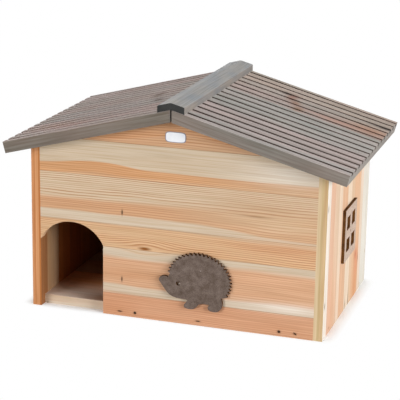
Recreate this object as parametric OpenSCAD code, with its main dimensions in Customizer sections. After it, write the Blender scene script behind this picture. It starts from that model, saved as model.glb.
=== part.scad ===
// Hedgehog house: a gabled pine box with an arched entrance, an inner partition
// and a ribbed roof that lifts off in one piece for cleaning.
// Origin: centre of the base on the ground. X to the right, Y to the rear, Z up.

/* [House body] */
// Width over the two side walls
body_w = 490; // [440:5:560]
// Depth from the front face to the rear face
body_d = 318; // [280:2:380]
// Thickness of the wall, floor and partition boards
board_t = 15; // [12:1:18]
// Height of the roof's underside at the ridge
ridge_h = 335; // [315:1:370]

/* [Entrance] */
// Clear width from the left wall to the right jamb
entrance_w = 109; // [100:1:120]
// Height of the arch's crown above the ground
entrance_h = 150; // [125:1:165]
// Height of the arch's crown above its springing
arch_rise = 34; // [20:1:48]

/* [Partition] */
// Clear width of the entrance hall beside the left wall
hall_w = 134; // [125:1:160]
// Height of the partition board
partition_h = 208; // [170:1:225]
// Clear passage between the partition and the rear wall
passage_w = 110; // [95:1:130]

/* [Roof] */
// Slope of the roof in degrees
roof_slope = 15; // [12:0.5:18]
// Thickness of a roof board
roof_t = 19; // [16:1:24]
// Overhang past the front wall
front_overhang = 26; // [15:1:45]
// Overhang past the rear wall
rear_overhang = 36; // [15:1:45]
// Overhang past a side wall, measured level on the underside
eave_overhang = 33; // [15:1:45]
// Gap between the two roof boards at the ridge
ridge_gap = 3; // [1:0.5:4]
// Distance from one groove to the next
groove_pitch = 25; // [20:0.5:32]
// Width of a groove
groove_w = 8; // [4:0.5:10]
// Depth of a groove
groove_depth = 5.5; // [2:0.5:7]
// Width of the rib at the front edge
front_rib_w = 13.8; // [8:0.2:16]
// Least rib width left at the rear edge
rear_rib_min = 7; // [6:1:14]
// Radius on the edges of the ribs
rib_r = 1.2; // [0.5:0.1:2]

/* [Ridge cap] */
// Width of the cap
cap_w = 44; // [36:1:60]
// Thickness of the cap, measured upright
cap_t = 11; // [9:0.5:16]
// Radius of the cap's rounded crest
crest_r = 10; // [4:1:50]
// Radius on the cap's upper side edges
cap_edge_r = 2; // [0.5:0.5:3]

/* [Roof framing] */
// Width of the beam under the ridge
beam_w = 40; // [32:1:60]
// Height of the beam under the ridge
beam_h = 28; // [20:1:36]
// Side of the square battens under the eaves
batten = 20; // [14:1:26]
// Play between the roof framing and the walls it drops between
framing_play = 2; // [1:0.5:4]
// Gap between the roof's underside and the wall tops it rests on
roof_seat = 0.3; // [0.2:0.1:0.6]

/* [Hedgehog plate] */
// Length from the nose to the last spine
hog_w = 122; // [90:1:140]
// Thickness of the cut-out plates
plate_t = 5; // [3:0.5:7]
// Centre of the hedgehog, right of the middle of the front wall
hog_offset = 37; // [25:1:55]
// Height of the feet above the ground
hog_foot_h = 28; // [20:1:45]
// Number of spines along the back
hog_spines = 27; // [19:1:31]
// Depth of the notches between the spines
spine_depth = 4.8; // [2:0.2:5.6]
// Diameter of the eye hole
eye_d = 7; // [3:0.5:8]

/* [Window plate] */
// Width of the window plate
window_w = 85; // [70:1:110]
// Height of the window plate
window_h = 89; // [70:1:110]
// Width of its stiles and its mullion
stile_w = 12; // [9:1:20]
// Height of its rails
rail_h = 15; // [10:1:20]
// Distance of its centre from the front face
window_from_front = 158; // [130:1:180]
// Height of its centre above the ground
window_centre_h = 137; // [110:1:165]

/* [Blank label] */
// Width of the label
label_w = 34; // [20:0.5:45]
// Height of the label
label_h = 17.5; // [10:0.5:22]
// Thickness of the label
label_t = 1; // [0.5:0.1:2]
// Radius of its corners
label_r = 4.5; // [1:0.5:4.5]
// Distance of its centre below the roof's underside at the ridge
label_drop = 29; // [25:1:45]

/* [Staples, nails and screws] */
// Width of a staple's crown
crown_w = 6; // [5:0.5:10]
// Length of a staple's legs
leg_len = 28; // [22:1:32]
// Thickness of the staple wire
wire_t = 1.4; // [0.9:0.1:1.6]
// Depth of a staple's crown or a nail's head below the surface
drive_depth = 0.8; // [0:0.1:1.2]
// Diameter of a nail's shank
nail_d = 2; // [1.5:0.1:2.5]
// Diameter of a nail's head
nail_head_d = 4.6; // [3.5:0.1:5.5]
// Thickness of a nail's or a brad's head
nail_head_t = 1; // [0.8:0.1:1.5]
// Length of a nail
nail_len = 28; // [22:1:32]
// Diameter of the brads that hold the cut-out plates
brad_d = 1.4; // [1:0.1:1.8]
// Diameter of a brad's head
brad_head_d = 2.6; // [2.2:0.1:3.2]
// Length of a brad
brad_len = 14; // [10:1:16]
// Diameter of a screw's shank
screw_d = 3.5; // [3:0.5:4.5]
// Diameter of a countersunk screw head
screw_head_d = 7; // [6:0.5:9]
// Height of a countersunk screw head
screw_head_h = 2.4; // [2:0.2:3.5]
// Bite of a screw in the last board it enters
screw_bite = 7; // [4:0.5:8]
// Room around a driven staple, nail or screw
drive_fit = 0.05; // [0.03:0.01:0.1]
// Distance of a wall staple from the top or the bottom of its seam
wall_staple_inset = 56; // [40:1:70]
// Distance of a partition staple from the top or the bottom of the partition
partition_staple_inset = 48; // [35:1:60]
// Distance of the end staples in a floor seam from the end of the seam
floor_staple_inset = 29; // [20:1:40]
// Distance of the middle staple of the front wall from the entrance's right jamb
mid_staple_from_jamb = 162; // [130:1:190]
// Distance of a floor nail from the end staple beside it
nail_spacing = 26; // [18:1:35]
// Turn of the staple that was driven askew, in degrees
askew_turn = 40; // [0:5:60]

/* [Hidden] */

$fn = 48;
over = 10;

// Faces of the box
half_w = body_w / 2;
half_d = body_d / 2;
inner_x = half_w - board_t;
inner_y = half_d - board_t;
seam = board_t / 2;

// Underside of the roof above a point x, and the roof board's upright thickness
function roof_z(x) = ridge_h - abs(x) * tan(roof_slope);
roof_upright = roof_t / cos(roof_slope);
seat_drop = roof_seat / cos(roof_slope);
wall_top = roof_z(half_w) - seat_drop;

// Roof boards
roof_front_y = -half_d - front_overhang;
roof_rear_y = half_d + rear_overhang;
slope_len = (half_w + eave_overhang) / cos(roof_slope);
groove_first_y = roof_front_y + front_rib_w;
groove_gaps = floor((roof_rear_y - rear_rib_min - groove_w - groove_first_y) / groove_pitch);
rib_floor = roof_t - groove_depth;
rib_round = roof_t - rib_r;

// Ridge cap: centres of the arcs at its crest and on its right side
cap_foot_h = roof_z(cap_w / 2) + roof_upright;
cap_crown_h = ridge_h + roof_upright + cap_t;
crest_centre = [0, cap_crown_h - crest_r / cos(roof_slope)];
cap_edge_x = cap_w / 2 - cap_edge_r;
cap_edge_centre = [cap_edge_x, cap_crown_h - cap_edge_x * tan(roof_slope) - cap_edge_r / cos(roof_slope)];

// Roof framing
framing_half_d = inner_y - framing_play;
batten_outer = (inner_x - framing_play) / cos(roof_slope);
batten_top_gap = batten_outer - batten;
screw_rows = [-1, 0, 1];
screw_row_y = framing_half_d - floor_staple_inset;
ridge_screw_x = (ridge_gap + beam_w) / 4;
ridge_screw_len = beam_h - ridge_screw_x * tan(roof_slope) + roof_upright + screw_bite;

// Entrance: a segment arch across the clear width
arch_r = (entrance_w * entrance_w / 4 + arch_rise * arch_rise) / (2 * arch_rise);
spring_h = entrance_h - arch_rise;
arch_centre_h = entrance_h - arch_r;
jamb_x = -inner_x + entrance_w;

// Partition
partition_x = -inner_x + hall_w + seam;
partition_d = 2 * inner_y - passage_w;
partition_nail_y = [-inner_y + partition_staple_inset, -inner_y + partition_d - partition_staple_inset];

// Staple and nail places along the seams
seam_y = inner_y + seam;
front_end_x = [jamb_x + floor_staple_inset, inner_x - floor_staple_inset];
front_mid_x = jamb_x + mid_staple_from_jamb;
rear_end_x = inner_x - floor_staple_inset;
side_end_y = inner_y - floor_staple_inset;
wall_staple_z = [wall_staple_inset, wall_top - wall_staple_inset];
over_arch_staple_z = [spring_h + floor_staple_inset, wall_staple_z[1] + nail_spacing];
partition_staple_z = [board_t + partition_staple_inset, board_t + partition_h - partition_staple_inset];

// Hedgehog outline, drawn at a length of 122 with its origin below the nose
drawn_w = 122;
hog_k = hog_w / drawn_w;
back_centre = [67.5, 50];
back_radii = [54, 45];
back_tilt = -4.5;
back_from = 176;
back_sweep = -205;
tip_lean = 0.4;
curve_steps = 6;
brad_on_hog = [69.5, 66];
eye_at = [32.7, 41];

function turned(p, a) = [p[0] * cos(a) - p[1] * sin(a), p[0] * sin(a) + p[1] * cos(a)];
function on_back(a, inset) =
    back_centre + turned([(back_radii[0] - inset) * cos(a), (back_radii[1] - inset) * sin(a)], back_tilt);
function bezier(p, t) =
    p[0] * pow(1 - t, 3) + p[1] * 3 * t * pow(1 - t, 2) + p[2] * 3 * t * t * (1 - t) + p[3] * pow(t, 3);
spine_turn = back_sweep / hog_spines;
spines = [
    for (i = [0 : hog_spines - 1])
        for (tip = [0, 1])
            on_back(back_from + (i + tip * tip_lean) * spine_turn, tip == 1 ? 0 : spine_depth / hog_k)
];
underside_curves = [
    [[104.5, 24], [107, 18], [107, 10], [103.5, 5]],
    [[103.5, 5], [100, 0], [95, 0], [91.5, 0]],
    [[91.5, 0], [82, 0], [81, 7], [84.5, 10.5]],
    [[84.5, 10.5], [80, 13], [73, 12], [68, 10]],
    [[68, 10], [64, 6], [62, 0], [53, 0]],
    [[53, 0], [43, 0], [40, 3], [45, 9.5]],
    [[45, 9.5], [46, 11], [49, 14], [48, 15]],
    [[48, 15], [44, 17], [30, 13.5], [19, 20.5]],
    [[19, 20.5], [13, 24], [7, 34], [1, 42]],
    [[1, 42], [-2, 47], [4, 51.5], [10, 51.5]],
    [[10, 51.5], [12, 51.5], [14, 50], [16, 49.5]]
];
underside = [for (c = underside_curves) for (i = [0 : curve_steps - 1]) bezier(c, i / curve_steps)];
hog_points = [for (p = concat(spines, underside)) p * hog_k];
hog_left = hog_offset - hog_w / 2;

// Points along an arc from one angle to another
arc_steps = 4;
function arc(centre, r, from, to) = [
    for (i = [0 : arc_steps])
        let (a = from + (to - from) * i / arc_steps)
            centre + r * [cos(a), sin(a)]
];

// Carries its children onto the slope of one side: x down the slope, z square to it
module on_slope(side) {
    mirror([side < 0 ? 1 : 0, 0, 0])
        translate([0, 0, ridge_h])
            rotate([0, roof_slope, 0])
                children();
}

// Extrudes an outline drawn in X and Z from y0 to y1
module upright(y0, y1) {
    translate([0, y1, 0])
        rotate([90, 0, 0])
            linear_extrude(y1 - y0)
                children();
}

// One staple, crown across X at the origin, legs towards +Y, driven below the surface.
// With fit above 0 it is the slot that the staple leaves in the boards.
module staple(fit = 0) {
    slot = fit > 0 ? over : 0;
    for (side = [-1, 1])
        translate([side * (crown_w - wire_t) / 2 - wire_t / 2 - fit, drive_depth - fit, -wire_t / 2 - fit])
            cube([wire_t + 2 * fit, leg_len + 2 * fit, wire_t + 2 * fit]);
    translate([-crown_w / 2 - fit, drive_depth - slot, -wire_t / 2 - fit])
        cube([crown_w + 2 * fit, wire_t + slot + fit, wire_t + 2 * fit]);
}

// One flat-headed pin along +Z with its head at the origin, or with fit above 0 its hole
module pin(shank_d, head_d, length, fit) {
    slot = fit > 0 ? over : 0;
    translate([0, 0, drive_depth])
        cylinder(d = shank_d + 2 * fit, h = length + fit);
    translate([0, 0, drive_depth - slot])
        cylinder(d = head_d + 2 * fit, h = nail_head_t + slot + fit);
}

module nail(fit = 0) {
    pin(nail_d, nail_head_d, nail_len, fit);
}

module brad(fit = 0) {
    pin(brad_d, brad_head_d, brad_len, fit);
}

// One countersunk screw along +Z with its head flush at the origin, or with fit above 0 its hole
module screw(length, fit = 0) {
    cylinder(d = screw_d + 2 * fit, h = length + fit);
    cylinder(d1 = screw_head_d + 2 * fit, d2 = screw_d + 2 * fit, h = screw_head_h);
    if (fit > 0)
        translate([0, 0, -over])
            cylinder(d = screw_head_d + 2 * fit, h = over);
}

// Fastener groups. Each is called with a fit to cut its own holes.
module front_wall_staple_set(fit = 0) {
    for (x = [front_end_x[0], front_mid_x, front_end_x[1]])
        translate([x, -half_d, seam])
            rotate([0, x == front_end_x[1] ? askew_turn : 0, 0])
                staple(fit);
    for (z = partition_staple_z)
        translate([partition_x, -half_d, z])
            rotate([0, 90, 0])
                staple(fit);
}

module front_wall_nail_set(fit = 0) {
    for (x = [front_end_x[0] + nail_spacing, front_end_x[1] - nail_spacing])
        translate([x, -half_d, seam])
            rotate([-90, 0, 0])
                nail(fit);
}

module rear_wall_staple_set(fit = 0) {
    for (x = [-rear_end_x, 0, rear_end_x])
        translate([x, half_d, seam])
            rotate([0, 0, 180])
                staple(fit);
}

module rear_wall_nail_set(fit = 0) {
    for (side = [-1, 1])
        translate([side * (rear_end_x - nail_spacing), half_d, seam])
            rotate([90, 0, 0])
                nail(fit);
}

module side_wall_staple_set(side, front_z, fit = 0) {
    for (y = [-side_end_y, 0, side_end_y])
        translate([side * half_w, y, seam])
            rotate([0, 0, side * 90])
                staple(fit);
    for (end = [-1, 1])
        for (z = end < 0 ? front_z : wall_staple_z)
            translate([side * half_w, end * seam_y, z])
                rotate([0, 0, side * 90])
                    rotate([0, 90, 0])
                        staple(fit);
}

module left_wall_staple_set(fit = 0) {
    side_wall_staple_set(-1, over_arch_staple_z, fit);
}

module right_wall_staple_set(fit = 0) {
    side_wall_staple_set(1, wall_staple_z, fit);
}

module partition_nail_set(fit = 0) {
    for (y = partition_nail_y)
        translate([partition_x, y, 0])
            nail(fit);
}

module plate_brad_set(fit = 0) {
    translate([hog_left + brad_on_hog[0] * hog_k, -half_d - plate_t, hog_foot_h + brad_on_hog[1] * hog_k])
        rotate([-90, 0, 0])
            brad(fit);
    translate([half_w + plate_t, -half_d + window_from_front, window_centre_h])
        rotate([0, -90, 0])
            brad(fit);
}

module ridge_screw_set(fit = 0) {
    for (side = [-1, 1])
        for (row = screw_rows)
            translate([side * ridge_screw_x, row * screw_row_y, ridge_h - beam_h])
                screw(ridge_screw_len, fit);
}

module batten_screw_set(fit = 0) {
    for (side = [-1, 1])
        on_slope(side)
            for (row = screw_rows)
                translate([batten_outer - batten / 2, row * screw_row_y, -batten])
                    screw(batten + screw_bite, fit);
}

// Outline of a gable board, between the side walls and up to the roof
module gable_outline() {
    polygon([
        [-inner_x, 0],
        [inner_x, 0],
        [inner_x, roof_z(inner_x) - seat_drop],
        [0, ridge_h - seat_drop],
        [-inner_x, roof_z(inner_x) - seat_drop]
    ]);
}

// Outline of the entrance: open at the foot, closed on the left by the side wall
module entrance_outline() {
    translate([-inner_x - over, -over])
        square([entrance_w + over, arch_centre_h + over]);
    intersection() {
        translate([-inner_x + entrance_w / 2, arch_centre_h])
            circle(r = arch_r, $fn = 96);
        translate([-inner_x - over, 0])
            square([entrance_w + over, entrance_h + over]);
    }
}

// House body
module floor_board() {
    color("BurlyWood")
        difference() {
            translate([-inner_x, -inner_y, 0])
                cube([2 * inner_x, 2 * inner_y, board_t]);
            front_wall_staple_set(drive_fit);
            front_wall_nail_set(drive_fit);
            rear_wall_staple_set(drive_fit);
            rear_wall_nail_set(drive_fit);
            left_wall_staple_set(drive_fit);
            right_wall_staple_set(drive_fit);
            partition_nail_set(drive_fit);
        }
}

module side_wall(side) {
    upright(-half_d, half_d)
        polygon([
            [side * inner_x, 0],
            [side * half_w, 0],
            [side * half_w, wall_top],
            [side * inner_x, roof_z(inner_x) - seat_drop]
        ]);
}

module left_wall() {
    color("SandyBrown")
        difference() {
            side_wall(-1);
            left_wall_staple_set(drive_fit);
        }
}

module right_wall() {
    color("PeachPuff")
        difference() {
            side_wall(1);
            right_wall_staple_set(drive_fit);
            plate_brad_set(drive_fit);
        }
}

module front_wall() {
    color("Tan")
        difference() {
            upright(-half_d, -inner_y)
                difference() {
                    gable_outline();
                    entrance_outline();
                }
            front_wall_staple_set(drive_fit);
            front_wall_nail_set(drive_fit);
            left_wall_staple_set(drive_fit);
            right_wall_staple_set(drive_fit);
            plate_brad_set(drive_fit);
        }
}

module rear_wall() {
    color("Tan")
        difference() {
            upright(inner_y, half_d)
                gable_outline();
            rear_wall_staple_set(drive_fit);
            rear_wall_nail_set(drive_fit);
            left_wall_staple_set(drive_fit);
            right_wall_staple_set(drive_fit);
        }
}

module partition_wall() {
    color("BurlyWood")
        difference() {
            translate([partition_x - seam, -inner_y, board_t])
                cube([board_t, partition_d, partition_h]);
            front_wall_staple_set(drive_fit);
            partition_nail_set(drive_fit);
        }
}

// Cut-out plates and the label on the walls
module hedgehog_plate() {
    color("DimGray")
        difference() {
            translate([hog_left, 0, hog_foot_h])
                upright(-half_d - plate_t, -half_d)
                    difference() {
                        polygon(hog_points);
                        translate(eye_at * hog_k)
                            circle(d = eye_d);
                    }
            plate_brad_set(drive_fit);
        }
}

module window_plate() {
    pane_w = (window_w - 3 * stile_w) / 2;
    pane_h = (window_h - 3 * rail_h) / 2;
    color("DimGray")
        difference() {
            translate([half_w, -half_d + window_from_front, window_centre_h])
                rotate([90, 0, 90])
                    linear_extrude(plate_t)
                        difference() {
                            square([window_w, window_h], center = true);
                            for (i = [-1, 1])
                                for (j = [-1, 1])
                                    translate([i * (pane_w + stile_w) / 2, j * (pane_h + rail_h) / 2])
                                        square([pane_w, pane_h], center = true);
                        }
            plate_brad_set(drive_fit);
        }
}

module blank_label() {
    color("White")
        translate([0, 0, ridge_h - label_drop])
            upright(-half_d - label_t, -half_d)
                union() {
                    square([label_w - 2 * label_r, label_h], center = true);
                    square([label_w, label_h - 2 * label_r], center = true);
                    for (i = [-1, 1])
                        for (j = [-1, 1])
                            translate([i * (label_w / 2 - label_r), j * (label_h / 2 - label_r)])
                                circle(r = label_r);
                }
}

// Fasteners of the house body
module front_wall_staples() {
    color("Silver")
        front_wall_staple_set();
}

module front_wall_nails() {
    color("Silver")
        front_wall_nail_set();
}

module rear_wall_staples() {
    color("Silver")
        rear_wall_staple_set();
}

module rear_wall_nails() {
    color("Silver")
        rear_wall_nail_set();
}

module left_wall_staples() {
    color("Silver")
        left_wall_staple_set();
}

module right_wall_staples() {
    color("Silver")
        right_wall_staple_set();
}

module partition_nails() {
    color("Silver")
        partition_nail_set();
}

module plate_brads() {
    color("Silver")
        plate_brad_set();
}

// Section of a roof board across the ribs, drawn in Y and the height over the underside
module ribbed_section() {
    grooves = [
        for (i = [0 : groove_gaps])
            let (near = groove_first_y + i * groove_pitch, far = near + groove_w)
                each concat(
                    arc([near - rib_r, rib_round], rib_r, 90, 0),
                    [[near, rib_floor], [far, rib_floor]],
                    arc([far + rib_r, rib_round], rib_r, 180, 90)
                )
    ];
    polygon(concat(
        [[roof_front_y, 0]],
        arc([roof_front_y + rib_r, rib_round], rib_r, 180, 90),
        grooves,
        arc([roof_rear_y - rib_r, rib_round], rib_r, 90, 0),
        [[roof_rear_y, 0]]
    ));
}

// One roof board: plumb at the ridge, square at the eave, ribbed from ridge to eave
module roof_panel(side) {
    difference() {
        on_slope(side)
            translate([-roof_t, 0, 0])
                rotate([90, 0, 90])
                    linear_extrude(slope_len + roof_t)
                        ribbed_section();
        translate([side > 0 ? ridge_gap / 2 - body_w : -ridge_gap / 2, -body_d, 0])
            cube([body_w, 2 * body_d, 2 * ridge_h]);
        ridge_screw_set(drive_fit);
        batten_screw_set(drive_fit);
    }
}

module left_roof_panel() {
    color("Gray")
        roof_panel(-1);
}

module right_roof_panel() {
    color("DarkGray")
        roof_panel(1);
}

// V-shaped moulding that covers the gap along the ridge, with a rounded crest
module ridge_cap() {
    color("SlateGray")
        difference() {
            upright(roof_front_y, roof_rear_y)
                polygon(concat(
                    [[-cap_w / 2, cap_foot_h], [0, ridge_h + roof_upright], [cap_w / 2, cap_foot_h]],
                    arc(cap_edge_centre, cap_edge_r, 0, 90 - roof_slope),
                    arc(crest_centre, crest_r, 90 - roof_slope, 90 + roof_slope),
                    arc([-cap_edge_centre[0], cap_edge_centre[1]], cap_edge_r, 90 + roof_slope, 180)
                ));
            ridge_screw_set(drive_fit);
        }
}

// Beam that ties the two roof boards together inside the gables
module ridge_beam() {
    color("BurlyWood")
        difference() {
            upright(-framing_half_d, framing_half_d)
                polygon([
                    [-beam_w / 2, ridge_h - beam_h],
                    [beam_w / 2, ridge_h - beam_h],
                    [beam_w / 2, roof_z(beam_w / 2)],
                    [0, ridge_h],
                    [-beam_w / 2, roof_z(beam_w / 2)]
                ]);
            ridge_screw_set(drive_fit);
        }
}

// Batten that keeps the roof from sliding sideways off the walls
module eave_batten(side) {
    difference() {
        on_slope(side)
            translate([batten_top_gap, -framing_half_d, -batten])
                cube([batten, 2 * framing_half_d, batten]);
        batten_screw_set(drive_fit);
    }
}

module left_eave_batten() {
    color("BurlyWood")
        eave_batten(-1);
}

module right_eave_batten() {
    color("BurlyWood")
        eave_batten(1);
}

module ridge_screws() {
    color("Silver")
        ridge_screw_set();
}

module batten_screws() {
    color("Silver")
        batten_screw_set();
}

floor_board();
left_wall();
right_wall();
front_wall();
rear_wall();
partition_wall();
hedgehog_plate();
window_plate();
blank_label();
front_wall_staples();
front_wall_nails();
rear_wall_staples();
rear_wall_nails();
left_wall_staples();
right_wall_staples();
partition_nails();
plate_brads();
left_roof_panel();
right_roof_panel();
ridge_cap();
ridge_beam();
left_eave_batten();
right_eave_batten();
ridge_screws();
batten_screws();
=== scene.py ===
import math

import bpy
import numpy as np
from mathutils import Matrix, Vector


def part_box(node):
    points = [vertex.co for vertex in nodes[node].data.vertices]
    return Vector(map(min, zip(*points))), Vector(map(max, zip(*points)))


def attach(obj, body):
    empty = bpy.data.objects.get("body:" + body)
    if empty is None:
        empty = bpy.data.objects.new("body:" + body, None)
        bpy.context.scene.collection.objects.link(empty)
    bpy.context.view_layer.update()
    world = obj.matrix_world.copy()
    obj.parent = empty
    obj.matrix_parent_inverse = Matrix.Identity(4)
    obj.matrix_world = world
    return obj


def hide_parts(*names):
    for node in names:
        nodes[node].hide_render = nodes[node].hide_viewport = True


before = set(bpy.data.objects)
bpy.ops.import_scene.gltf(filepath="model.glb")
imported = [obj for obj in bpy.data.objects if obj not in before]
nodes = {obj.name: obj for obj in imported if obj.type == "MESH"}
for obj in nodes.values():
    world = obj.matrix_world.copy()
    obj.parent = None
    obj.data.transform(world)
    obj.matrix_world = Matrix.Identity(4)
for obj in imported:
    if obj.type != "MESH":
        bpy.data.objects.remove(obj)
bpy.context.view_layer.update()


# Floor board: a planed pine panel between the walls, glued up from strips with their grain across the house.
# The walls are stapled and nailed into its edges, and its front edge shows in the entrance.
MM_PER_M = 1000
TAN_WOOD = "D7BA9B"
PINK_WOOD = "DCB08C"
LATEWOOD = "C99A6E"
KNOT_WOOD = "8E5522"


def box_mm(name):
    """A node's lowest and highest corner, in mm."""
    return [[MM_PER_M * place for place in corner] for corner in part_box(name)]


def linear(code):
    """Turns an sRGB hex colour into linear RGBA: each channel over 255, with the sRGB curve undone."""
    channel = np.array([int(code[i:i + 2], 16) for i in (0, 2, 4)]) / 255
    light = np.where(channel <= 0.04045, channel / 12.92, ((channel + 0.055) / 1.055) ** 2.4)
    return (*light.tolist(), 1.0)


def fill(material, node, inputs):
    """Fills a node's inputs by name or number: a node's first output or a socket is linked, and
    anything else is set as the value."""
    for key, source in inputs.items():
        named = [socket for socket in node.inputs if socket.enabled and socket.name == key]
        target = named[0] if named else node.inputs[key]
        if isinstance(source, bpy.types.Node):
            source = next(socket for socket in source.outputs if socket.enabled)
        if isinstance(source, bpy.types.NodeSocket):
            material.node_tree.links.new(source, target)
        else:
            target.default_value = source


def add(material, kind, inputs, stops=(), **settings):
    """Adds one shader node with its settings, inputs and, on a ramp, its stops in rising order:
    a stop's value is a hex colour or a grey level."""
    node = material.node_tree.nodes.new("ShaderNode" + kind)
    for key, value in settings.items():
        setattr(node, key, value)
    fill(material, node, inputs)
    for i, (place, value) in enumerate(stops):
        ramp = node.color_ramp.elements
        stop = ramp[i] if i < 2 else ramp.new(place)
        stop.position = place
        stop.color = linear(value) if isinstance(value, str) else (value, value, value, 1.0)
    return node


def new_material(name):
    """An empty material, with its principled shader."""
    material = bpy.data.materials.new(name)
    material.use_nodes = True
    return material, material.node_tree.nodes["Principled BSDF"]


def dress(material, *names):
    """Puts a material on CAD nodes."""
    for name in names:
        nodes[name].data.materials.clear()
        nodes[name].data.materials.append(material)


def band_stops(bands, end, column):
    """Ramp stops from bands of (start mm, colour, ring strength, blend mm): each band holds its value
    up to the next one's start, and the two meet over that one's blend width."""
    start = bands[0][0]
    stops = [(0.0, bands[0][column])]
    for before, after in zip(bands, bands[1:]):
        edge, half = after[0] - start, after[3] / 2
        stops.append(((edge - half) / (end - start), before[column]))
        stops.append(((edge + half) / (end - start), after[column]))
    return stops + [(1.0, bands[-1][column])]


def bell(material, face, centre, reach):
    """A bell curve round a centre on a face: the way from the centre in units of the reach, and
    exp(-r^2) of its length r."""
    away = add(material, "VectorMath", {
        0: add(material, "VectorMath", {0: face, 1: (*centre, 0)}, operation="SUBTRACT"),
        1: (1 / reach[0], 1 / reach[1], 0)}, operation="MULTIPLY")
    square = add(material, "VectorMath", {0: away, 1: away}, operation="DOT_PRODUCT").outputs["Value"]
    return away, add(material, "Math", {0: 1 / math.e, 1: square}, operation="POWER")


def glued_boards(wood, rise, bottom, top, glue):
    """Where a point lies among boards glued edge to edge: its board's number, which goes up by one at each
    glue line, and that board's lower and upper edge. The outer boards reach a little past the wood."""
    past_wood = 5
    lines = (bottom - past_wood, *glue, top + past_wood)
    board, low, high = 0.0, lines[0], lines[1]
    for before, line, after in zip(lines, glue, lines[2:]):
        past = add(wood, "Math", {0: rise, 1: line}, operation="GREATER_THAN")
        board = add(wood, "Math", {0: board, 1: past}, operation="ADD")
        low = add(wood, "Math", {0: past, 1: line - before, 2: low}, operation="MULTIPLY_ADD")
        high = add(wood, "Math", {0: past, 1: after - line, 2: high}, operation="MULTIPLY_ADD")
    return board, low, high


def figure_lift(wood, face, grain, swells, knots, seed):
    """How far the figure is lifted across the grain, in mm. Slow noise, 130 mm along the grain and 40 mm
    across it, gives about 2 mm either way. Each swell adds its height times a bell curve round a point,
    and each knot parts the figure above and below it. Returns the lift of the colours, that of the growth
    rings, which follow a third of a swell, and the knots' cores."""
    sway_height, ring_share = 8.0, 1 / 3
    flow_reach, flow_height = (3, 4), 4
    core_edge, core_full = 0.3, 0.95
    sway = add(wood, "TexNoise", {"Vector": add(wood, "Mapping", {
        "Vector": grain, "Location": (seed, 0, 0), "Scale": (1 / 130, 1 / 60, 1 / 40)}),
        "Scale": 1.0, "Detail": 1.0})
    lift = add(wood, "Math", {0: sway, 1: sway_height, 2: -sway_height / 2}, operation="MULTIPLY_ADD")
    ring_lift = lift
    for centre, reach, height in swells:
        near = bell(wood, face, centre, reach)[1]
        lift = add(wood, "Math", {0: near, 1: height, 2: lift}, operation="MULTIPLY_ADD")
        ring_lift = add(wood, "Math", {0: near, 1: ring_share * height, 2: ring_lift},
                        operation="MULTIPLY_ADD")
    cores = []
    for centre, reach in knots:
        core = bell(wood, face, centre, reach)[1]
        cores.append(add(wood, "MapRange", {0: core, 1: core_edge, 2: core_full, 3: 0.0, 4: 1.0}))
        away, near = bell(wood, face, centre, (flow_reach[0] * reach[0], flow_reach[1] * reach[1]))
        above = add(wood, "SeparateXYZ", {0: away}).outputs["Y"]
        parted = add(wood, "Math", {0: above, 1: near}, operation="MULTIPLY")
        height = flow_height * reach[1]
        lift = add(wood, "Math", {0: parted, 1: height, 2: lift}, operation="MULTIPLY_ADD")
        ring_lift = add(wood, "Math", {0: parted, 1: height, 2: ring_lift}, operation="MULTIPLY_ADD")
    return lift, ring_lift, cores


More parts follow.
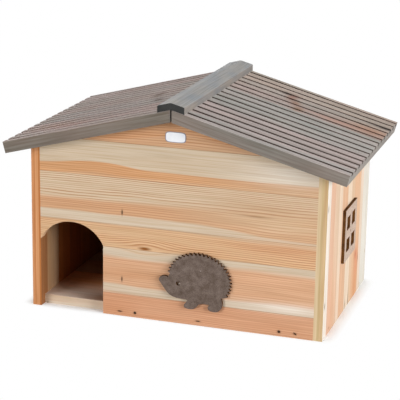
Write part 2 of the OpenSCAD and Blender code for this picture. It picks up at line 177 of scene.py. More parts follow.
def pine(name, along, across, depth, bands, end, glue=(), swells=(), knots=(), blushes=(), edge=None,
         far=None, seed=0.0):
    """Planed pine in boards glued edge to edge, with run, rise and depth in mm along the given axes. Colour
    is a ramp of the bands over the figure, which is the rise less its lift, kept within the board. Blushes
    tint it by bell curves. A growth ring of the figure darkens slowly and ends sharply. Faces square to the
    depth axis show all this, or far's own bands where the depth is under its limit, and the other faces show
    the edge's ramp over the depth."""
    wood, shader = new_material(name)
    coords = add(wood, "TexCoord", {})
    axes = add(wood, "SeparateXYZ", {0: add(
        wood, "VectorMath", {0: coords.outputs["Object"], 1: (MM_PER_M,) * 3}, operation="MULTIPLY")}).outputs
    run, rise, into = axes[along], axes[across], axes[depth]
    face = add(wood, "CombineXYZ", {"X": run, "Y": rise, "Z": 0.0})
    start = bands[0][0]

    # Each board's noise is taken from another place along the grain
    board, low, high = glued_boards(wood, rise, start, end, glue)
    board_shift = 613.0
    grain = add(wood, "CombineXYZ", {
        "X": add(wood, "Math", {0: board, 1: board_shift, 2: run}, operation="MULTIPLY_ADD"),
        "Y": into, "Z": rise})
    lift, ring_lift, cores = figure_lift(wood, face, grain, swells, knots, seed)
    from_glue = 0.3
    place = add(wood, "Clamp", {
        "Value": add(wood, "Math", {0: rise, 1: lift}, operation="SUBTRACT"),
        "Min": add(wood, "Math", {0: low, 1: from_glue}, operation="ADD"),
        "Max": add(wood, "Math", {0: high, 1: from_glue}, operation="SUBTRACT")})

    # Growth rings 3.4 mm apart, out of step from board to board, crowded and spread by noise over 25 mm
    ring_pitch, ring_step, crowd_size, crowd_rings = 3.4, 0.37, 25.0, 1.8
    figure = add(wood, "Math", {0: rise, 1: ring_lift}, operation="SUBTRACT")
    crowd = add(wood, "TexNoise", {
        "W": add(wood, "Math", {0: figure, 1: crowd_size}, operation="DIVIDE"),
        "Scale": 1.0, "Detail": 1.0}, noise_dimensions="1D")
    ring = add(wood, "Math", {0: figure, 1: ring_pitch}, operation="DIVIDE")
    ring = add(wood, "Math", {0: board, 1: ring_step, 2: ring}, operation="MULTIPLY_ADD")
    ring = add(wood, "Math", {0: crowd, 1: crowd_rings, 2: ring}, operation="MULTIPLY_ADD")
    late = add(wood, "ValToRGB", {0: add(wood, "Math", {0: ring}, operation="FRACT")},
               [(0.0, 0.0), (0.45, 0.08), (0.82, 1.0), (1.0, 0.0)])

    # Streaks 1.5 mm wide and 120 mm long, coarser than real fibres so that they show, and slow clouds
    streak = add(wood, "TexNoise", {"Vector": add(wood, "Mapping", {
        "Vector": grain, "Location": (seed, 0, 0), "Scale": (1 / 120, 1 / 4, 1 / 1.5)}),
        "Scale": 1.0, "Detail": 2.0, "Roughness": 0.6})
    cloud = add(wood, "TexNoise", {"Vector": add(wood, "Mapping", {
        "Vector": grain, "Location": (0, seed, 0), "Scale": (1 / 150, 1 / 30, 1 / 13)}),
        "Scale": 1.0, "Detail": 2.0})

    # The bands' colours, the blushes and the rings, which are clearer in some places than in others
    share = add(wood, "MapRange", {0: place, 1: start, 2: end, 3: 0.0, 4: 1.0})
    colour = add(wood, "ValToRGB", {0: share}, band_stops(bands, end, 1))
    strength = add(wood, "ValToRGB", {0: share}, band_stops(bands, end, 2))
    for centre, reach, tint, amount in blushes:
        here = add(wood, "Math", {0: bell(wood, face, centre, reach)[1], 1: amount}, operation="MULTIPLY")
        colour = add(wood, "Mix", {"Factor": here, "A": colour, "B": linear(tint)}, data_type="RGBA")
    if far:
        limit, far_bands = far
        other = add(wood, "ValToRGB", {0: share}, band_stops(far_bands, end, 1))
        behind = add(wood, "Math", {0: into, 1: limit}, operation="LESS_THAN")
        colour = add(wood, "Mix", {"Factor": behind, "A": colour, "B": other}, data_type="RGBA")
    clear = add(wood, "MapRange", {0: cloud, 1: 0.35, 2: 0.65, 3: 0.45, 4: 1.35})
    line = add(wood, "Math", {0: late, 1: strength}, operation="MULTIPLY")
    line = add(wood, "Math", {0: line, 1: clear}, operation="MULTIPLY")
    colour = add(wood, "Mix", {"Factor": line, "A": colour, "B": linear(LATEWOOD)},
                 data_type="RGBA", blend_type="MULTIPLY")

    # The edges, the knots' cores, the dark glue lines, the clouds and the streaks
    if edge:
        depth_bands, depth_end = edge
        inward = add(wood, "MapRange", {0: into, 1: depth_bands[0][0], 2: depth_end, 3: 0.0, 4: 1.0})
        side = add(wood, "ValToRGB", {0: inward}, band_stops(depth_bands, depth_end, 1))
        facing = add(wood, "SeparateXYZ", {0: coords.outputs["Normal"]}).outputs[depth]
        facing = add(wood, "Math", {0: facing}, operation="ABSOLUTE")
        broad = add(wood, "Math", {0: facing, 1: 0.5}, operation="GREATER_THAN")
        colour = add(wood, "Mix", {"Factor": broad, "A": side, "B": colour}, data_type="RGBA")
    for core in cores:
        colour = add(wood, "Mix", {"Factor": core, "A": colour, "B": linear(KNOT_WOOD)}, data_type="RGBA")
    below = add(wood, "Math", {0: rise, 1: low}, operation="SUBTRACT")
    above = add(wood, "Math", {0: high, 1: rise}, operation="SUBTRACT")
    to_glue = add(wood, "Math", {0: below, 1: above}, operation="MINIMUM")
    to_glue = add(wood, "Math", {0: to_glue, 1: 1.0}, operation="MINIMUM")
    for source, stops in ((to_glue, [(0.0, "C9AC90"), (0.6, "FFFFFF")]),
                          (cloud, [(0.3, "F1F0EF"), (0.7, "FDFCFC")]),
                          (streak, [(0.32, "EEE5DB"), (0.62, "FFFFFF")])):
        veil = add(wood, "ValToRGB", {0: source}, stops)
        colour = add(wood, "Mix", {"Factor": 1.0, "A": colour, "B": veil},
                     data_type="RGBA", blend_type="MULTIPLY")

    # Planed pine is matt and has hardly any shine, so that its strips and rings are all that the eye meets
    height = add(wood, "Math", {0: late, 1: 0.5, 2: streak}, operation="MULTIPLY_ADD")
    fill(wood, shader, {
        "Base Color": colour,
        "Roughness": add(wood, "MapRange", {0: streak, 1: 0.3, 2: 0.7, 3: 0.62, 4: 0.5}),
        "Specular IOR Level": 0.05,
        "Normal": add(wood, "Bump", {"Height": height, "Strength": 0.4, "Distance": 0.0001})})
    return wood


(_, floor_front, floor_under), (_, floor_rear, floor_top) = box_mm("floor_board")
floor_bands = [(floor_front, "FAE6D8", 0.3, 3), (-88, "F8B27E", 0.4, 50), (-16, PINK_WOOD, 0.4, 0.6),
               (48, TAN_WOOD, 0.4, 0.6)]
floor_edge = [(floor_under, "E3D2BE", 0, 1), (5, "DFC9B2", 0, 3)]
# The dark blush near the entrance's right jamb is painted shade, where the jamb keeps light off the floor.
dress(pine("planed_pine_floor", "X", "Y", "Z", floor_bands, floor_rear, glue=(-16, 48),
           blushes=[((-128, -128), (34, 26), "A8744E", 0.8)], edge=(floor_edge, floor_top), seed=3.1),
      "floor_board")

# Side walls: upright strips of pine glued edge to edge, planed and clear coated.
# They stand outside the floor and the gables, and are stapled into both. The left one shows its heart
# side, orange brown, to the inside and its paler sap side to the outside; its inside is also painted
# darker, as shade of the dim hall, and its pale inner strip is painted darker towards the front.
SAPWOOD = "D8C8B2"
HEARTWOOD = "D8AA82"
(right_inside, wall_front, _), (right_outside, wall_rear, _) = box_mm("right_wall")
right_bands = [
    (wall_front, "E5DFD6", 0.1, 1), (-135, "D9B59D", 0.3, 0.6), (-104, "D8C0A8", 0.25, 6),
    (-73, "E2D0BC", 0.15, 0.6), (-50, "D9B394", 0.3, 5), (-9, "E4D3BE", 0.15, 0.6), (23, "DDC1A4", 0.3, 0.6),
    (43, "E0BC9C", 0.5, 6), (92, "E5D5C3", 0.12, 0.6), (113, "E1DFD7", 0.1, 0.6)]
right_edge = [(right_inside, "DBC5A1", 0, 1), (235, "CEB68B", 0, 3), (239, "D3B78D", 0, 3)]
warm_strips = [((30, -98), (80, 26), "DBAE8E", 0.7), ((15, 72), (60, 18), "DCA070", 0.75)]
window_knot = [((60, 78), (28, 13), "DE9A78", 0.7), ((74, 71), (9, 8), "C0704E", 0.7),
               ((62, 91), (8, 3), "9C5E42", 0.7)]
damp_seams = [((4, 24), (20, 1.8), "3E2214", 0.9), ((4, -1), (12, 1.8), "6E4630", 0.8)]
# Dark patches round the staples: partly rust, partly painted shade of the slots they are sunk in.
seam_rust_and_slot_shade = [((56, -151.5), (5, 2.2), "3E2C1C", 0.95), ((213, -151.5), (5, 2.2), "46382A", 0.9)]
dress(pine("edge_glued_pine_right", "Z", "Y", "X", right_bands, wall_rear, glue=(-135, -73, -9, 23, 92, 113),
           blushes=warm_strips + window_knot + damp_seams + seam_rust_and_slot_shade, edge=(right_edge, right_outside),
           seed=7.7),
      "right_wall")

(left_outside, _, _), (left_inside, _, _) = box_mm("left_wall")
# The inner strips are partly heartwood, partly painted shade of the hall; the pale strip's fall towards the
# front is painted shade.
left_heart_and_shade_bands = [
    (wall_front, "976945", 0.5, 1), (-133, "B8926C", 0.3, 0.6), (-112, "E0BD98", 0.3, 24),
    (-85, "D08C52", 0.5, 0.6), (-66, "C07A44", 0.4, 4), (-37, "A9683C", 0.4, 0.6), (11, "B27646", 0.3, 0.6),
    (52, "A66A3E", 0.5, 5), (107, "BC885A", 0.3, 0.6), (128, "AF7448", 0.4, 4)]
left_outer_bands = [
    (wall_front, TAN_WOOD, 0, 1), (-133, SAPWOOD, 0, 0.6), (-85, "DDAE86", 0, 0.6), (-60, "DFC3A6", 0, 6),
    (-37, "E2D2BE", 0, 0.6), (11, "D9B394", 0, 0.6), (52, HEARTWOOD, 0, 5), (78, "DDC1A4", 0, 6),
    (107, "E3D6C6", 0, 0.6)]
left_edge = [(left_outside, "D6996B", 0, 1), (-241, "C78453", 0, 1), (-239, "D89D6E", 0, 1),
             (-233, "BE7B47", 0, 1)]
dress(pine("edge_glued_pine_left", "Z", "Y", "X", left_heart_and_shade_bands, wall_rear, glue=(-133, -85, -37, 11, 107),
           far=((left_outside + left_inside) / 2, left_outer_bands), edge=(left_edge, left_inside), seed=5.3),
      "left_wall")

# Gables: level boards of pine glued edge to edge, planed, clear coated and cut to the roof's slope.
# They stand between the side walls and are stapled to the floor. The front one has the arched entrance
# sawn out of its lower left corner.
gable_foot, gable_peak = 0, 335
front_bands = [
    (gable_foot, "DDAB89", 0.35, 1), (37.3, SAPWOOD, 0.12, 0.4), (49.5, "DEB391", 0.3, 4),
    (102, SAPWOOD, 0.1, 8), (115.2, "E2BE98", 0.75, 0.4), (154, SAPWOOD, 0.1, 0.4), (170.5, "D8AD88", 0.5, 3),
    (190, "DDCAB0", 0.75, 6), (231, "D7A77B", 0.35, 1.5), (245.5, "D4C3AB", 0.06, 1.5),
    (289, HEARTWOOD, 0.6, 0.8)]
front_swells = [((-135, 250), (60, 13), 9), ((235, 163), (135, 18), -15), ((245, 214), (260, 21), 17),
                ((-130, 52), (85, 12), 5), ((15, 316), (120, 32), 22)]
warm_wood = [((160, 196), (130, 30), TAN_WOOD, 0.85), ((-110, 12), (50, 22), "DB9B72", 0.5),
             ((180, 142), (80, 12), "DDA781", 0.5), ((170, 238), (120, 8), TAN_WOOD, 0.25),
             ((190, 180), (90, 15), "E0C3A2", 0.8), ((-60, 74), (90, 10), "D49E74", 0.5)]
# Two of these blushes are painted light: the one under the right eave lifts the roof's shadow, and the small
# one at (10, 67.5) lightens the shade in the hedgehog's eye hole. The one at (190, 47) is the wood's own
# tone.
pale_wood_and_painted_light = [((185, 262), (75, 18), "EDE4D7", 0.9), ((190, 47), (80, 8), "F0E6DA", 0.9),
             ((10, 67.5), (5, 5), "FFF4E6", 1.0)]
pitch_streak = [((133, 191.5), (24, 1.1), "9C744E", 0.8)]
# Dark patches round the staples and nails: partly rust, partly painted shade of the slots they are sunk in.
front_rust_and_slot_shade = [(centre, reach, "3A2718", 0.9) for centre, reach in (
    ((-88.5, 175), (1.3, 4.4)), ((-88.5, 63), (1.3, 4.0)), ((-92, 7.5), (4.0, 1.3)), ((-66, 7.5), (2.6, 2.2)),
    ((41, 7.5), (4.0, 1.3)), ((175, 7.5), (2.8, 2.4)), ((201, 7.5), (2.8, 2.0)))]
dress(pine("edge_glued_pine_front", "X", "Z", "Y", front_bands, gable_peak, glue=(37.3, 115.2, 154, 231, 289),
           swells=front_swells, knots=[((-50, 118.5), (13, 3.6))],
           blushes=warm_wood + pale_wood_and_painted_light + pitch_streak + front_rust_and_slot_shade, seed=1.9),
      "front_wall")

rear_bands = [
    (gable_foot, TAN_WOOD, 0.4, 1), (38.5, SAPWOOD, 0.15, 0.4), (77, HEARTWOOD, 0.5, 0.4),
    (110, SAPWOOD, 0.15, 5), (154, TAN_WOOD, 0.6, 0.4), (172, HEARTWOOD, 0.4, 4), (191, SAPWOOD, 0.1, 4),
    (231, PINK_WOOD, 0.6, 0.4), (262, SAPWOOD, 0.15, 5), (308, HEARTWOOD, 0.4, 0.4)]
dress(pine("edge_glued_pine_rear", "X", "Z", "Y", rear_bands, gable_peak, glue=(38.5, 77, 154, 231, 308),
           swells=[((-160, 200), (140, 26), 11), ((90, 255), (70, 14), -8)],
           knots=[((88, 171), (9, 4)), ((-140, 92), (7, 3.5))], seed=9.4),
      "rear_wall")

# Partition: a planed pine board, rich in heartwood and painted darker still as shade of the dim inside,
# between the entrance hall and the sleeping chamber.
# It is stapled through the front gable and nailed through the floor.
(_, _, partition_foot), (_, _, partition_top) = box_mm("partition_wall")
partition_shade_bands = [(partition_foot, "8E5C36", 0.4, 3), (78, "855431", 0.3, 0.6), (141, "976640", 0.4, 0.6),
                   (190, "8E5F3A", 0.3, 4)]
dress(pine("planed_pine_partition", "Y", "Z", "X", partition_shade_bands, partition_top, glue=(78, 141), seed=12.6),
      "partition_wall")

# Staples and nails: zinc-coated wire, driven by a nailer until the heads lie just below the wood.
# Damp wood has taken their shine away, and their colour is darkened further as painted shade of the slots
# they are sunk in. That leaves small dark brown strokes and dots, mottled and dull.
wire, shader = new_material("browned_shaded_zinc_wire")
speck = add(wire, "TexNoise", {"Vector": add(wire, "TexCoord", {}).outputs["Object"],
                               "Scale": MM_PER_M / 0.6, "Detail": 2.0})
fill(wire, shader, {
    "Base Color": add(wire, "ValToRGB", {0: speck}, [(0.35, "2A1B10"), (0.65, "48331F")]),
    "Roughness": add(wire, "MapRange", {0: speck, 1: 0.3, 2: 0.7, 3: 0.65, 4: 0.45}),
    "Specular IOR Level": 0.2})
dress(wire, "front_wall_staples", "front_wall_nails", "rear_wall_staples", "rear_wall_nails",
      "left_wall_staples", "right_wall_staples", "partition_nails")


# Hedgehog and window plates: cut by laser from stained fibreboard, so their edges are burnt brown.
# Each is held to its wall by glue and one bright brad.
def fibreboard(name, facing, face_colours, char_colours):
    """Stained fibreboard: noise of 9 mm clouds and 1.2 mm fibres on the face, coarser than real fibres so
    that they show, and burnt brown on every surface that doesn't face along the given axis."""
    board, shader = new_material(name)
    coords = add(board, "TexCoord", {})
    where = coords.outputs["Object"]
    cloud = add(board, "TexNoise", {"Vector": where, "Scale": MM_PER_M / 9, "Detail": 3.0})
    fleck = add(board, "TexNoise", {"Vector": where, "Scale": MM_PER_M / 1.2, "Detail": 2.0})
    colour = add(board, "ValToRGB", {0: cloud}, [(0.3, face_colours[0]), (0.7, face_colours[1])])
    spots = add(board, "ValToRGB", {0: fleck}, [(0.3, "D2CAC4"), (0.6, "FFFFFF")])
    colour = add(board, "Mix", {"Factor": 1.0, "A": colour, "B": spots},
                 data_type="RGBA", blend_type="MULTIPLY")
    char = add(board, "ValToRGB", {0: cloud}, [(0.3, char_colours[0]), (0.7, char_colours[1])])
    turn = add(board, "SeparateXYZ", {0: coords.outputs["Normal"]}).outputs[facing]
    turn = add(board, "Math", {0: turn}, operation="ABSOLUTE")
    edge = add(board, "Math", {0: turn, 1: 0.95}, operation="LESS_THAN")
    colour = add(board, "Mix", {"Factor": edge, "A": colour, "B": char}, data_type="RGBA")

    # Pressed fibres give an even, felt-like brown without grain or shine
    fill(board, shader, {
        "Base Color": colour,
        "Roughness": 0.75,
        "Specular IOR Level": 0.1,
        "Normal": add(board, "Bump", {"Height": fleck, "Strength": 0.4, "Distance": 0.0001})})
    return board


def burnt_plate(name, node, board):
    """A plate copied from its CAD node, its triangles merged and its sharp edges bevelled by the width of the
    rim that the laser burns into its face."""
    merge_gap, rim_width, sharp = 0.00001, 0.0009, math.radians(60)
    plate = bpy.data.objects.new(name, nodes[node].data.copy())
    bpy.context.collection.objects.link(plate)
    plate.data.materials.clear()
    plate.data.materials.append(board)
    weld = plate.modifiers.new("weld", "WELD")
    weld.merge_threshold = merge_gap
    rim = plate.modifiers.new("rim", "BEVEL")
    rim.width = rim_width
    rim.segments = 1
    rim.limit_method = "ANGLE"
    rim.angle_limit = sharp
    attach(plate, "house")
    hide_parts(node)


burnt_plate("hedgehog_cutout", "hedgehog_plate", fibreboard(
    "stained_fibreboard_hedgehog", "Y", ("62544B", "7B6D65"), ("37200F", "54361C")))
burnt_plate("window_cutout", "window_plate", fibreboard(
    "stained_fibreboard_window", "X", ("B6A294", "C6B1A1"), ("4A2E14", "6E4A26")))

# Bright steel wire shows as a small grey point that catches the light
brad, shader = new_material("bright_steel_brad")
speck = add(brad, "TexNoise", {"Vector": add(brad, "TexCoord", {}).outputs["Object"],
                               "Scale": MM_PER_M / 0.6, "Detail": 2.0})
fill(brad, shader, {
    "Base Color": add(brad, "ValToRGB", {0: speck}, [(0.35, "82766E"), (0.65, "988C84")]),
    "Roughness": 0.45,
    "Metallic": 0.6})
dress(brad, "plate_brads")


# Label: a bare plate of moulded white plastic with a grey rim, partly a grey border and partly painted shade
# of its edge, glued under the peak of the front gable.
# It is lower inside the rim, and its field is slightly domed.
RIM_INNER, FIELD_EDGE = 0.0011, 0.0014


def label_surface(half_w, half_h, base, top):
    """A profile carried round a superellipse: at each inset from the outline, the ring's half sizes
    shrink by the inset, and its height follows the profile, a share of the thickness. Returns rings of
    points, and each point's inset."""
    around, squareness = 96, 4.5
    turn = np.linspace(0, 2 * np.pi, around, endpoint=False)
    wide = np.sign(np.cos(turn)) * np.abs(np.cos(turn)) ** (2 / squareness)
    high = np.sign(np.sin(turn)) * np.abs(np.sin(turn)) ** (2 / squareness)
    inset = np.array((0.0, 0.0, 0.00015, 0.0005, RIM_INNER, FIELD_EDGE, 0.0022, 0.004, 0.006, 0.008))
    profile = np.array((0.0, 0.6, 0.88, 1.0, 1.0, 0.7, 0.72, 0.78, 0.82, 0.84))
    points = np.empty((len(inset), around, 3))
    points[..., 0] = (half_w - inset)[:, None] * wide
    points[..., 1] = (base + profile * (top - base))[:, None]
    points[..., 2] = (half_h - inset)[:, None] * high
    return points, np.repeat(inset, around)


low, high = (np.array(corner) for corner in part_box("blank_label"))
half = (high - low) / 2
points, inset = label_surface(half[0], half[2], high[1], low[1])
points[..., 0] += low[0] + half[0]
points[..., 2] += low[2] + half[2]
rings, around = points.shape[:2]
ring, step = np.meshgrid(np.arange(rings - 1), np.arange(around), indexing="ij")
ahead = (step + 1) % around
quads = np.stack((ring * around + step, ring * around + ahead,
                  (ring + 1) * around + ahead, (ring + 1) * around + step), axis=-1).reshape(-1, 4)
ends = [np.arange(around)[::-1].tolist(), ((rings - 1) * around + np.arange(around)).tolist()]
label_mesh = bpy.data.meshes.new("label")
label_mesh.from_pydata(points.reshape(-1, 3).tolist(), [], quads.tolist() + ends)
label_mesh.attributes.new("inset", "FLOAT", "POINT").data.foreach_set("value", inset.astype(np.float32))
label = bpy.data.objects.new("label", label_mesh)
bpy.context.collection.objects.link(label)

# Moulded ABS is an even, cool white with a soft gloss
label_plastic, shader = new_material("white_abs_label")
veil = add(label_plastic, "TexNoise", {"Vector": add(label_plastic, "TexCoord", {}).outputs["Object"],
                                       "Scale": MM_PER_M / 12, "Detail": 1.0})
field = add(label_plastic, "ValToRGB", {0: veil}, [(0.3, "E4E7EE"), (0.7, "F0F2F6")])
# The grey rim is partly a grey border, partly painted shade of the label's edge.
from_rim = add(label_plastic, "MapRange", {
    0: add(label_plastic, "Attribute", {}, attribute_name="inset").outputs["Fac"],
    1: RIM_INNER, 2: FIELD_EDGE, 3: 0.0, 4: 1.0})
fill(label_plastic, shader, {
    "Base Color": add(label_plastic, "Mix", {"Factor": from_rim, "A": linear("8A8690"), "B": field},
                      data_type="RGBA"),
    "Roughness": 0.3})
label_mesh.materials.append(label_plastic)
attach(label, "house")
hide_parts("blank_label")

# Roof boards: thick pine boards with a grey-brown stain, grooved from ridge to eave.
# They are screwed from below to the ridge beam and the cap, and rest on the walls.
roof_front, roof_rear = (corner[1] for corner in box_mm("right_roof_panel"))


def stained_roof(name, strips, fascia, seed, marks=()):
    """Stained pine: a ramp of tints over the distance across the ribs, fibres down the slope, and dark brown
    below the ribs' tops, partly pooled stain and partly painted shade of the grooves, by the height over the
    board's underside, the upright height times the slope's cosine. Marks are bell curves round points (mm
    down the slope, mm across the ribs) that darken or tint.
    The front, rear and eave faces and the underside are plain."""
    slope, ridge, thick = math.radians(15), 335.0, 19.0
    stain_top, stain_full, skin = 0.4, 1.4, 0.1
    wood, shader = new_material(name)
    coords = add(wood, "TexCoord", {})
    axes = add(wood, "SeparateXYZ", {0: add(
        wood, "VectorMath", {0: coords.outputs["Object"], 1: (MM_PER_M,) * 3}, operation="MULTIPLY")}).outputs
    from_ridge = add(wood, "Math", {0: axes["X"]}, operation="ABSOLUTE")
    upright = add(wood, "Math", {0: from_ridge, 1: math.tan(slope), 2: axes["Z"]}, operation="MULTIPLY_ADD")
    ridge_top = ridge + thick / math.cos(slope)
    height = add(wood, "MapRange", {0: upright, 1: ridge, 2: ridge_top, 3: 0.0, 4: thick})

    # Fibres 1.4 mm wide and 90 mm long, coarser than real ones so that they show, and slow clouds
    board = add(wood, "CombineXYZ", {"X": axes["X"], "Y": height, "Z": axes["Y"]})
    fibre = add(wood, "TexNoise", {"Vector": add(wood, "Mapping", {
        "Vector": board, "Location": (seed, 0, 0), "Scale": (1 / 90, 1 / 3, 1 / 1.4)}),
        "Scale": 1.0, "Detail": 3.0, "Roughness": 0.65})
    cloud = add(wood, "TexNoise", {"Vector": add(wood, "Mapping", {
        "Vector": board, "Location": (0, seed, 0), "Scale": (1 / 110, 1 / 30, 1 / 22)}),
        "Scale": 1.0, "Detail": 2.0})

    # The strips, the dark grooves and the marks
    across = add(wood, "MapRange", {0: axes["Y"], 1: roof_front, 2: roof_rear, 3: 0.0, 4: 1.0})
    colour = add(wood, "ValToRGB", {0: across}, band_stops(strips, roof_rear, 1))
    # Below the ribs' tops the colour goes to dark brown: partly stain pooled in the grooves, partly painted
    # shade of the grooves.
    top = add(wood, "MapRange", {0: height, 1: thick - stain_full, 2: thick - stain_top, 3: 0.0, 4: 1.0})
    colour = add(wood, "Mix", {"Factor": top, "A": linear("52463F"), "B": colour}, data_type="RGBA")
    down = add(wood, "Math", {0: from_ridge, 1: math.cos(slope)}, operation="DIVIDE")
    spread = add(wood, "CombineXYZ", {"X": down, "Y": axes["Y"], "Z": 0.0})
    for centre, reach, tint, amount in marks:
        here = add(wood, "Math", {0: bell(wood, spread, centre, reach)[1], 1: amount}, operation="MULTIPLY")
        colour = add(wood, "Mix", {"Factor": here, "A": colour, "B": linear(tint)},
                     data_type="RGBA", blend_type="MULTIPLY")

    # The plain faces at the eave, underneath and at both ends
    steep = add(wood, "SeparateXYZ", {0: coords.outputs["Normal"]}).outputs["X"]
    steep = add(wood, "Math", {0: steep}, operation="ABSOLUTE")
    eave = add(wood, "Math", {0: steep, 1: 0.7}, operation="GREATER_THAN")
    under = add(wood, "Math", {0: height, 1: skin}, operation="LESS_THAN")
    middle, half = (roof_front + roof_rear) / 2, (roof_rear - roof_front) / 2
    from_middle = add(wood, "Math", {0: axes["Y"], 1: middle}, operation="SUBTRACT")
    from_middle = add(wood, "Math", {0: from_middle}, operation="ABSOLUTE")
    outer = add(wood, "Math", {0: from_middle, 1: half - skin}, operation="GREATER_THAN")
    for face, tint in ((eave, "9C9A97"), (under, "857B72"), (outer, fascia)):
        colour = add(wood, "Mix", {"Factor": face, "A": colour, "B": linear(tint)}, data_type="RGBA")
    for source, stops in ((cloud, [(0.3, "E8E9E6"), (0.72, "FFF6F3")]),
                          (fibre, [(0.3, "D3CBC5"), (0.65, "FFFFFF")])):
        veil = add(wood, "ValToRGB", {0: source}, stops)
        colour = add(wood, "Mix", {"Factor": 1.0, "A": colour, "B": veil},
                     data_type="RGBA", blend_type="MULTIPLY")

    # A thin stain on raw pine is chalky: it lets knots and fibres through and has no shine
    fill(wood, shader, {
        "Base Color": colour,
        "Roughness": 0.75,
        "Specular IOR Level": 0.03,
        "Normal": add(wood, "Bump", {"Height": fibre, "Strength": 0.6, "Distance": 0.0002})})
    return wood


right_strips = [(roof_front, "B4B0AF", 0, 1), (-152, "B5ADAC", 0, 6), (-60, "B0B0AE", 0, 20),
                (46, "B6ACA9", 0, 8), (92, "B6AFAA", 0, 8), (130, "BAB0A8", 0, 8)]
left_strips = [(roof_front, "A59B97", 0, 1), (-150, "A79A97", 0, 6), (-70, "A19A97", 0, 20),
               (0, "A59995", 0, 10), (60, "A39B97", 0, 10), (118, "A69B98", 0, 10)]
right_knot = [((106, 130), (11, 7), "100B07", 1.0), ((121, 129), (10, 8), "D0A498", 0.8),
              ((118, 112), (9, 18), "EACCC2", 0.9), ((122, 106), (8, 6), "B48C80", 0.9),
              ((132, 90), (9, 14), "F0D4C4", 0.9), ((144, 60), (10, 15), "E0C8B0", 0.9)]
right_worn = [((270, 84), (48, 30), "FFDCC6", 0.9), ((205, 70), (45, 15), "FFE6DA", 0.8)]
# The crack's near-black line is painted shade inside the split.
right_crack_shade = [((286, 129.5), (24, 8), "120C08", 1.0)]
left_knots = [((75, -35), (9, 9), "8E7E76", 0.8), ((95, 25), (9, 22), "A89890", 0.7)]
left_worn = [((235, -110), (40, 25), "FFECE0", 0.8), ((190, -135), (40, 30), "FAEAE6", 0.7)]
dress(stained_roof("stained_pine_right", right_strips, "8D8882", 4.2, right_knot + right_worn + right_crack_shade),
      "right_roof_panel")
dress(stained_roof("stained_pine_left", left_strips, "867F77", 8.6, left_knots + left_worn),
      "left_roof_panel")

# Ridge cap: a moulded pine batten with a cooler grey stain, screwed down over the gap at the ridge.
# Its flanks drank more stain, and its sawn ends are nearly black. The eye meets long, faint streaks,
# 1.4 mm wide and coarser than real fibres, without shine.
cap_wood, shader = new_material("grey_stained_pine_cap")
coords = add(cap_wood, "TexCoord", {})
fibre = add(cap_wood, "TexNoise", {"Vector": add(cap_wood, "Mapping", {
    "Vector": coords.outputs["Object"], "Scale": (MM_PER_M / 1.4, MM_PER_M / 110, MM_PER_M / 1.4)}),
    "Scale": 1.0, "Detail": 3.0})
cloud = add(cap_wood, "TexNoise", {"Vector": add(cap_wood, "Mapping", {
    "Vector": coords.outputs["Object"], "Scale": (MM_PER_M / 24, MM_PER_M / 70, MM_PER_M / 24)}),
    "Scale": 1.0, "Detail": 2.0})
colour = add(cap_wood, "ValToRGB", {0: cloud}, [(0.3, "8C9094"), (0.7, "9E9B97")])
grain = add(cap_wood, "ValToRGB", {0: fibre}, [(0.3, "DCDAD8"), (0.65, "FFFFFF")])
colour = add(cap_wood, "Mix", {"Factor": 1.0, "A": colour, "B": grain},
             data_type="RGBA", blend_type="MULTIPLY")
facing = add(cap_wood, "SeparateXYZ", {
    0: add(cap_wood, "VectorMath", {0: coords.outputs["Normal"]}, operation="ABSOLUTE")}).outputs
flank = add(cap_wood, "Math", {0: facing["X"], 1: 0.7}, operation="GREATER_THAN")
colour = add(cap_wood, "Mix", {"Factor": flank, "A": colour, "B": linear("E6DED8")},
             data_type="RGBA", blend_type="MULTIPLY")
end = add(cap_wood, "Math", {0: facing["Y"], 1: 0.5}, operation="GREATER_THAN")
pores = add(cap_wood, "ValToRGB", {0: cloud}, [(0.3, "313130"), (0.7, "3C3C3B")])
fill(cap_wood, shader, {
    "Base Color": add(cap_wood, "Mix", {"Factor": end, "A": colour, "B": pores}, data_type="RGBA"),
    "Roughness": 0.75,
    "Specular IOR Level": 0.06,
    "Normal": add(cap_wood, "Bump", {"Height": fibre, "Strength": 0.5, "Distance": 0.0002})})
dress(cap_wood, "ridge_cap")

# Roof framing: a beam under the ridge and a batten under each eave, of sawn pine left bare.
# The beam ties the roof boards together, and the battens keep the roof in place between the walls.
# Countersunk screws hold them all.
framing_half = 240
framing_bands = [(-framing_half, SAPWOOD, 0.5, 1), (-222, TAN_WOOD, 0.5, 1), (-6, SAPWOOD, 0.5, 1),
                 (8, TAN_WOOD, 0.5, 3), (212, SAPWOOD, 0.5, 1), (226, PINK_WOOD, 0.5, 1)]
dress(pine("sawn_pine_framing", "Y", "X", "Z", framing_bands, framing_half, seed=15.2),
      "ridge_beam", "left_eave_batten", "right_eave_batten")

# Zinc with a yellow passivated skin is brassy and half bright
screw_zinc, shader = new_material("yellow_zinc_screw")
speck = add(screw_zinc, "TexNoise", {"Vector": add(screw_zinc, "TexCoord", {}).outputs["Object"],
                                     "Scale": MM_PER_M / 0.8, "Detail": 2.0})
fill(screw_zinc, shader, {
    "Base Color": add(screw_zinc, "ValToRGB", {0: speck}, [(0.35, "B59A58"), (0.65, "D8C488")]),
    "Roughness": 0.35,
    "Metallic": 1.0})
dress(screw_zinc, "ridge_screws", "batten_screws")

# Studio: a floor of white paper that keeps the house's soft shadow and fades to a pure white backdrop,
# in a dim white room, with softboxes at the right, in front, overhead and behind.
floor_half = 6.0
corners = np.array([(-1, -1, 0), (1, -1, 0), (1, 1, 0), (-1, 1, 0)]) * floor_half
floor_mesh = bpy.data.meshes.new("studio_floor")
floor_mesh.from_pydata(corners.tolist(), [], [(0, 1, 2, 3)])
studio_floor = bpy.data.objects.new("studio_floor", floor_mesh)
bpy.context.collection.objects.link(studio_floor)


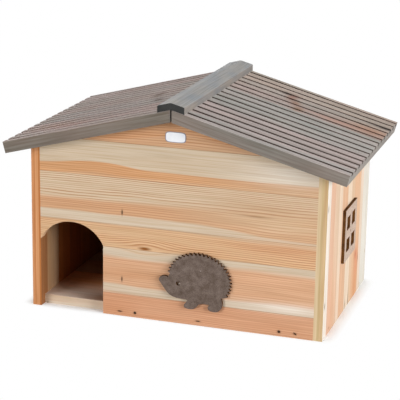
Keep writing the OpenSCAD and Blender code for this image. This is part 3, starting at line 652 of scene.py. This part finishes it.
def backdrop_rays(material):
    """One for the rays that show the white backdrop: those of the camera, reflections and glass."""
    rays = add(material, "LightPath", {}).outputs
    mirrored = add(material, "Math", {0: rays["Is Glossy Ray"], 1: rays["Is Transmission Ray"]},
                   operation="MAXIMUM")
    return add(material, "Math", {0: rays["Is Camera Ray"], 1: mirrored}, operation="MAXIMUM")


# Matt white paper shows only the shadow, which fades out within 22 mm of the house.
# To the light it is grey, so that it throws little back onto the walls.
shaded_half, shadow_fade = (0.245, 0.146, 0), 0.022
paper, shader = new_material("white_studio_paper")
seen = backdrop_rays(paper)
fill(paper, shader, {
    "Base Color": add(paper, "Mix", {"Factor": seen, "A": linear("909090"), "B": linear("FCFCFC")},
                      data_type="RGBA"),
    "Roughness": 0.9})
across = add(paper, "VectorMath", {0: add(paper, "TexCoord", {}).outputs["Object"]}, operation="ABSOLUTE")
outside = add(paper, "VectorMath", {0: across, 1: shaded_half}, operation="SUBTRACT")
outside = add(paper, "VectorMath", {0: outside, 1: (0, 0, 0)}, operation="MAXIMUM")
gone = add(paper, "VectorMath", {0: outside}, operation="LENGTH").outputs["Value"]
far = add(paper, "MapRange", {0: gone, 1: 0.0, 2: shadow_fade, 3: 0.0, 4: 1.0},
          interpolation_type="SMOOTHSTEP")
fade = add(paper, "Math", {0: far, 1: seen}, operation="MULTIPLY")
white = add(paper, "Emission", {"Color": (1, 1, 1, 1), "Strength": 1.0})
fill(paper, paper.node_tree.nodes["Material Output"], {
    "Surface": add(paper, "MixShader", {0: fade, 1: shader, 2: white})})
floor_mesh.materials.append(paper)

# The room is nearly dark at the level of the house and grows lighter up to the ceiling
wall_light, ceiling_light, ceiling_from = 0.03, 0.2, 0.8
world = bpy.data.worlds.new("studio_world")
world.use_nodes = True
seen = backdrop_rays(world)
height = add(world, "SeparateXYZ", {0: add(world, "TexCoord", {}).outputs["Generated"]}).outputs["Z"]
room = add(world, "MapRange", {0: height, 1: 0.0, 2: ceiling_from, 3: wall_light, 4: ceiling_light})
fill(world, world.node_tree.nodes["Background"], {
    "Color": (1, 1, 1, 1), "Strength": add(world, "Mix", {"Factor": seen, "A": room, "B": 1.0})})
bpy.context.scene.world = world

softbox_width, lit_point = 1.6, Vector((0, 0, 0.18))
for name, place, watts in (("side_softbox", (2.45, -1.05, 0.5), 93.0),
                           ("front_softbox", (-1.7, -2.4, 0.6), 57.0),
                           ("top_softbox", (0.25, 0.0, 2.3), 25.0),
                           ("rear_softbox", (-1.9, 2.3, 0.9), 50.0)):
    lamp = bpy.data.lights.new(name, "AREA")
    lamp.shape = "DISK"
    lamp.size = softbox_width
    lamp.energy = watts
    softbox = bpy.data.objects.new(name, lamp)
    softbox.location = place
    softbox.rotation_euler = (lit_point - Vector(place)).to_track_quat("-Z", "Y").to_euler()
    bpy.context.collection.objects.link(softbox)

# Camera: a long lens in front of the house, to its right and above it, rolled by a degree.
# Its place and angles were fitted to the corners of the boards.
lens_mm, place = 133.33, (0.71214, -2.27756, 0.84722)
yaw, pitch, roll = (math.radians(angle) for angle in (17.572, 16.020, 1.0249))
forward = np.array((-math.sin(yaw) * math.cos(pitch), math.cos(yaw) * math.cos(pitch), -math.sin(pitch)))
level_right = np.array((math.cos(yaw), math.sin(yaw), 0.0))
level_up = np.cross(level_right, forward)
right = math.cos(roll) * level_right + math.sin(roll) * level_up
up = math.cos(roll) * level_up - math.sin(roll) * level_right
pose = np.eye(4)
pose[:3, :3] = np.stack((right, up, -forward), axis=1)
pose[:3, 3] = place
lens = bpy.data.cameras.new("photo_camera")
lens.lens = lens_mm
camera = bpy.data.objects.new("photo_camera", lens)
camera.matrix_world = Matrix(pose.tolist())
bpy.context.collection.objects.link(camera)
bpy.context.scene.camera = camera
bpy.context.scene.view_settings.view_transform = "Standard"
